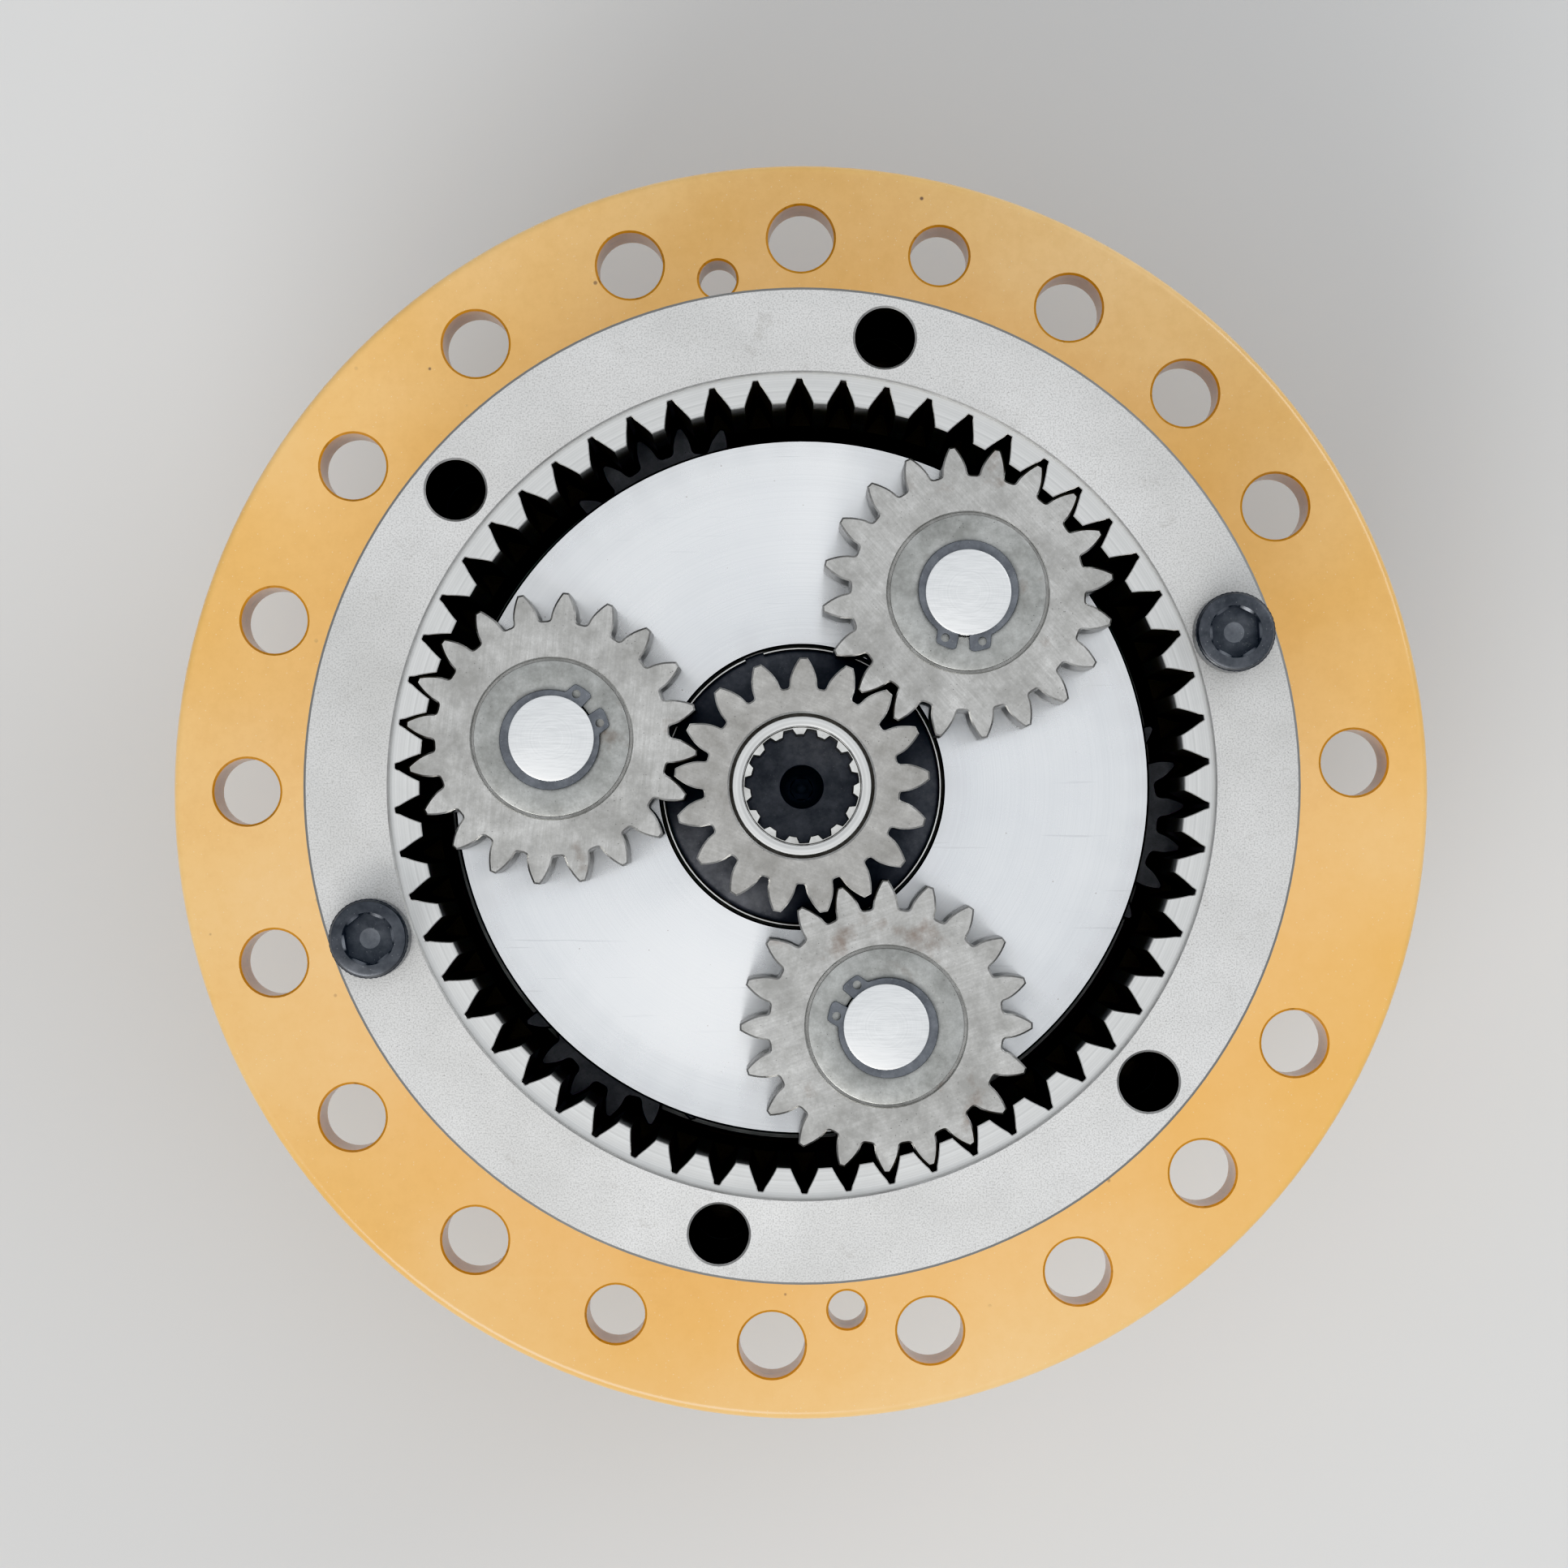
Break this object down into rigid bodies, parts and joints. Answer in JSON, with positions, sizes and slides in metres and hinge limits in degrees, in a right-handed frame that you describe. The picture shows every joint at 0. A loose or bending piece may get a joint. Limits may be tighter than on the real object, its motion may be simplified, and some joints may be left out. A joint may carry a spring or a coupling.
{
  "type": "planetary swing reduction gearbox",
  "caption": "Two-stage planetary swing gearbox with a flanged housing, an exposed ring gear with planet gears round a splined sun gear, and an output pinion below.",
  "frame": {"origin": "centre of the output pinion's end face, on the gearbox's main axis, at the bottom of the part", "axes": "+Z along the main axis from the pinion to the motor face; +X and +Y across it, with the ring gear's open side up"},
  "size_m": [0.52, 0.52, 0.5353],
  "materials": {
    "yellow_paint": "gloss enamel, chipped at the flange's edge",
    "blasted_steel": "bead-blasted",
    "gear_steel": "hardened, ground flanks",
    "washer_steel": "lapped",
    "pin_steel": "ground",
    "carrier_steel": "finely turned",
    "bearing_steel": "ground",
    "forged_steel": "machined forging",
    "black_oxide": "black oxide, oiled",
    "spring_steel": "blued",
    "nitrile_rubber": "matt"
  },
  "bodies": {
    "housing": {"flange_housing": "yellow_paint", "ring_gear": "blasted_steel", "ring_screw_1": "black_oxide", "ring_screw_2": "black_oxide", "ring_dowel_1": "bearing_steel", "ring_dowel_2": "bearing_steel", "drain_plug": "black_oxide", "lower_bearing_outer_ring": "bearing_steel", "upper_bearing_outer_ring": "bearing_steel", "seal_cover": "yellow_paint", "oil_seal": "nitrile_rubber"},
    "output": {"output_pinion_shaft": "forged_steel", "shaft_lock_nut": "black_oxide", "shaft_end_plate": "forged_steel", "end_plate_bolt": "black_oxide", "second_carrier": "forged_steel", "lower_bearing_inner_ring": "bearing_steel", "upper_bearing_inner_ring": "bearing_steel", "second_planet_pin_1": "pin_steel", "second_planet_pin_2": "pin_steel", "second_planet_pin_3": "pin_steel", "second_circlip_1": "spring_steel", "second_circlip_2": "spring_steel", "second_circlip_3": "spring_steel", "second_top_washer_1": "washer_steel", "second_top_washer_2": "washer_steel", "second_top_washer_3": "washer_steel"},
    "lower_rollers": {"lower_bearing_roller_cage": "bearing_steel"},
    "upper_rollers": {"upper_bearing_roller_cage": "bearing_steel"},
    "second_planet_1": {"second_planet_gear_1": "gear_steel"},
    "second_rollers_1": {"second_roller_bearing_1": "bearing_steel"},
    "second_planet_2": {"second_planet_gear_2": "gear_steel"},
    "second_rollers_2": {"second_roller_bearing_2": "bearing_steel"},
    "second_planet_3": {"second_planet_gear_3": "gear_steel"},
    "second_rollers_3": {"second_roller_bearing_3": "bearing_steel"},
    "first_carrier": {"first_carrier": "carrier_steel", "second_sun_gear": "gear_steel", "carrier_thrust_plate": "black_oxide", "carrier_snap_ring": "carrier_steel", "first_planet_pin_1": "pin_steel", "first_planet_pin_2": "pin_steel", "first_planet_pin_3": "pin_steel", "first_circlip_1": "spring_steel", "first_circlip_2": "spring_steel", "first_circlip_3": "spring_steel", "first_top_washer_1": "washer_steel", "first_top_washer_2": "washer_steel", "first_top_washer_3": "washer_steel", "first_bottom_washer_1": "washer_steel", "first_bottom_washer_2": "washer_steel", "first_bottom_washer_3": "washer_steel"},
    "first_planet_1": {"first_planet_gear_1": "gear_steel"},
    "first_needles_1": {"first_needle_bearing_1": "bearing_steel"},
    "first_planet_2": {"first_planet_gear_2": "gear_steel"},
    "first_needles_2": {"first_needle_bearing_2": "bearing_steel"},
    "first_planet_3": {"first_planet_gear_3": "gear_steel"},
    "first_needles_3": {"first_needle_bearing_3": "bearing_steel"},
    "first_sun": {"first_sun_gear": "gear_steel", "sun_stop_ring": "carrier_steel"}
  },
  "joints": [
    {"name": "output_spin", "type": "hinge", "parent": "housing", "child": "output", "pos_m": [0, 0, 0.171], "axis": [0, 0, 1], "continuous": true},
    {"name": "lower_rollers_spin", "type": "hinge", "parent": "housing", "child": "lower_rollers", "pos_m": [0, 0, 0.171], "axis": [0, 0, 1], "continuous": true},
    {"name": "upper_rollers_spin", "type": "hinge", "parent": "housing", "child": "upper_rollers", "pos_m": [0, 0, 0.299], "axis": [0, 0, 1], "continuous": true},
    {"name": "second_planet_1_spin", "type": "hinge", "parent": "output", "child": "second_planet_1", "pos_m": [0.09703, -0.00951, 0.3975], "axis": [0, 0, 1], "continuous": true},
    {"name": "second_rollers_1_spin", "type": "hinge", "parent": "output", "child": "second_rollers_1", "pos_m": [0.09703, -0.00951, 0.3975], "axis": [0, 0, 1], "continuous": true},
    {"name": "second_planet_2_spin", "type": "hinge", "parent": "output", "child": "second_planet_2", "pos_m": [-0.04028, 0.08879, 0.3975], "axis": [0, 0, 1], "continuous": true},
    {"name": "second_rollers_2_spin", "type": "hinge", "parent": "output", "child": "second_rollers_2", "pos_m": [-0.04028, 0.08879, 0.3975], "axis": [0, 0, 1], "continuous": true},
    {"name": "second_planet_3_spin", "type": "hinge", "parent": "output", "child": "second_planet_3", "pos_m": [-0.05676, -0.07928, 0.3975], "axis": [0, 0, 1], "continuous": true},
    {"name": "second_rollers_3_spin", "type": "hinge", "parent": "output", "child": "second_rollers_3", "pos_m": [-0.05676, -0.07928, 0.3975], "axis": [0, 0, 1], "continuous": true},
    {"name": "first_carrier_spin", "type": "hinge", "parent": "housing", "child": "first_carrier", "pos_m": [0, 0, 0.452], "axis": [0, 0, 1], "continuous": true},
    {"name": "first_planet_1_spin", "type": "hinge", "parent": "first_carrier", "child": "first_planet_1", "pos_m": [0.06117, 0.07111, 0.489], "axis": [0, 0, 1], "continuous": true},
    {"name": "first_needles_1_spin", "type": "hinge", "parent": "first_carrier", "child": "first_needles_1", "pos_m": [0.06117, 0.07111, 0.489], "axis": [0, 0, 1], "continuous": true},
    {"name": "first_planet_2_spin", "type": "hinge", "parent": "first_carrier", "child": "first_planet_2", "pos_m": [-0.09217, 0.01742, 0.489], "axis": [0, 0, 1], "continuous": true},
    {"name": "first_needles_2_spin", "type": "hinge", "parent": "first_carrier", "child": "first_needles_2", "pos_m": [-0.09217, 0.01742, 0.489], "axis": [0, 0, 1], "continuous": true},
    {"name": "first_planet_3_spin", "type": "hinge", "parent": "first_carrier", "child": "first_planet_3", "pos_m": [0.031, -0.08853, 0.489], "axis": [0, 0, 1], "continuous": true},
    {"name": "first_needles_3_spin", "type": "hinge", "parent": "first_carrier", "child": "first_needles_3", "pos_m": [0.031, -0.08853, 0.489], "axis": [0, 0, 1], "continuous": true},
    {"name": "first_sun_spin", "type": "hinge", "parent": "housing", "child": "first_sun", "pos_m": [0, 0, 0.487], "axis": [0, 0, 1], "continuous": true}
  ],
  "couplings": [
    {"joint": "lower_rollers_spin", "follows": "output_spin", "ratio": 0.44578},
    {"joint": "upper_rollers_spin", "follows": "output_spin", "ratio": 0.44286},
    {"joint": "second_planet_1_spin", "follows": "output_spin", "ratio": -3.0526},
    {"joint": "second_rollers_1_spin", "follows": "output_spin", "ratio": -1.7397},
    {"joint": "second_planet_2_spin", "follows": "output_spin", "ratio": -3.0526},
    {"joint": "second_rollers_2_spin", "follows": "output_spin", "ratio": -1.7397},
    {"joint": "second_planet_3_spin", "follows": "output_spin", "ratio": -3.0526},
    {"joint": "second_rollers_3_spin", "follows": "output_spin", "ratio": -1.7397},
    {"joint": "first_carrier_spin", "follows": "output_spin", "ratio": 3.9},
    {"joint": "first_planet_1_spin", "follows": "output_spin", "ratio": -11.31},
    {"joint": "first_needles_1_spin", "follows": "output_spin", "ratio": -6.5017},
    {"joint": "first_planet_2_spin", "follows": "output_spin", "ratio": -11.31},
    {"joint": "first_needles_2_spin", "follows": "output_spin", "ratio": -6.5017},
    {"joint": "first_planet_3_spin", "follows": "output_spin", "ratio": -11.31},
    {"joint": "first_needles_3_spin", "follows": "output_spin", "ratio": -6.5017},
    {"joint": "first_sun_spin", "follows": "output_spin", "ratio": 17.206}
  ]
}
